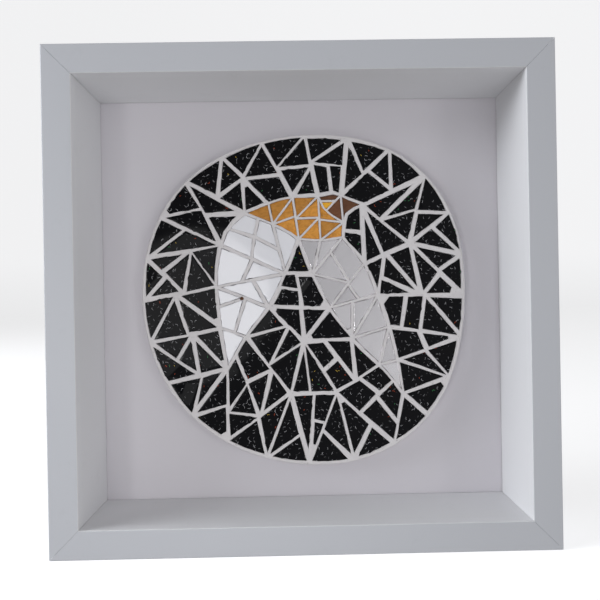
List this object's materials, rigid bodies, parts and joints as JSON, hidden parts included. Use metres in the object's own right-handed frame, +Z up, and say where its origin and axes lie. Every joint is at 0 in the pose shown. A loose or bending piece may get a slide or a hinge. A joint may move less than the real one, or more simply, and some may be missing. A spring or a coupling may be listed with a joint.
{
  "type": "framed mosaic panel",
  "caption": "Round glass mosaic of a bird in flight, black ground and pale grout, in a deep white square box frame that stands or hangs.",
  "frame": {"origin": "middle of the frame's underside, where it stands on its bottom rail", "axes": "+Z up, +X to the viewer's right, -Y out of the picture towards the viewer, +Y towards the wall"},
  "size_m": [0.25, 0.045, 0.25],
  "materials": {
    "frame_paint": "satin white paint over mitred wood",
    "spacer_card": "smooth white foil on thin board",
    "mount_card": "matt off-white card",
    "hardboard": "brown hardboard",
    "steel": "zinc plated",
    "grout": "fine matt cement grout, off-white",
    "black_glass": "glossy opaque black glass with glitter flecks",
    "white_glass": "glossy opal white glass",
    "mirror_glass": "silvered mirror glass",
    "gold_glass": "glossy golden-amber glass",
    "brown_glass": "glossy brown glass",
    "amber_glass": "glossy bright amber glass"
  },
  "bodies": {
    "root": {"amber_shard_01": "amber_glass", "back_board": "hardboard", "black_mosaic": "black_glass", "bottom_rail": "frame_paint", "bottom_spacer": "spacer_card", "bottom_tab": "steel", "brown_shard_01": "brown_glass", "brown_shard_02": "brown_glass", "brown_shard_03": "brown_glass", "gold_shard_01": "gold_glass", "gold_shard_02": "gold_glass", "gold_shard_03": "gold_glass", "gold_shard_04": "gold_glass", "gold_shard_05": "gold_glass", "gold_shard_06": "gold_glass", "gold_shard_07": "gold_glass", "gold_shard_08": "gold_glass", "gold_shard_09": "gold_glass", "gold_shard_10": "gold_glass", "gold_shard_11": "gold_glass", "grout": "grout", "left_rail": "frame_paint", "left_spacer": "spacer_card", "left_tab": "steel", "mirror_shard_01": "mirror_glass", "mirror_shard_02": "mirror_glass", "mirror_shard_03": "mirror_glass", "mirror_shard_04": "mirror_glass", "mirror_shard_05": "mirror_glass", "mirror_shard_06": "mirror_glass", "mirror_shard_07": "mirror_glass", "mirror_shard_08": "mirror_glass", "mirror_shard_09": "mirror_glass", "mirror_shard_10": "mirror_glass", "mirror_shard_11": "mirror_glass", "mirror_shard_12": "mirror_glass", "mirror_shard_13": "mirror_glass", "mount_card": "mount_card", "right_rail": "frame_paint", "right_spacer": "spacer_card", "right_tab": "steel", "sawtooth_hanger": "steel", "top_rail": "frame_paint", "top_spacer": "spacer_card", "top_tab": "steel", "white_shard_01": "white_glass", "white_shard_02": "white_glass", "white_shard_03": "white_glass", "white_shard_04": "white_glass", "white_shard_05": "white_glass", "white_shard_06": "white_glass", "white_shard_07": "white_glass", "white_shard_08": "white_glass", "white_shard_09": "white_glass", "white_shard_10": "white_glass", "white_shard_11": "white_glass", "white_shard_12": "white_glass", "white_shard_13": "white_glass"}
  },
  "joints": []
}
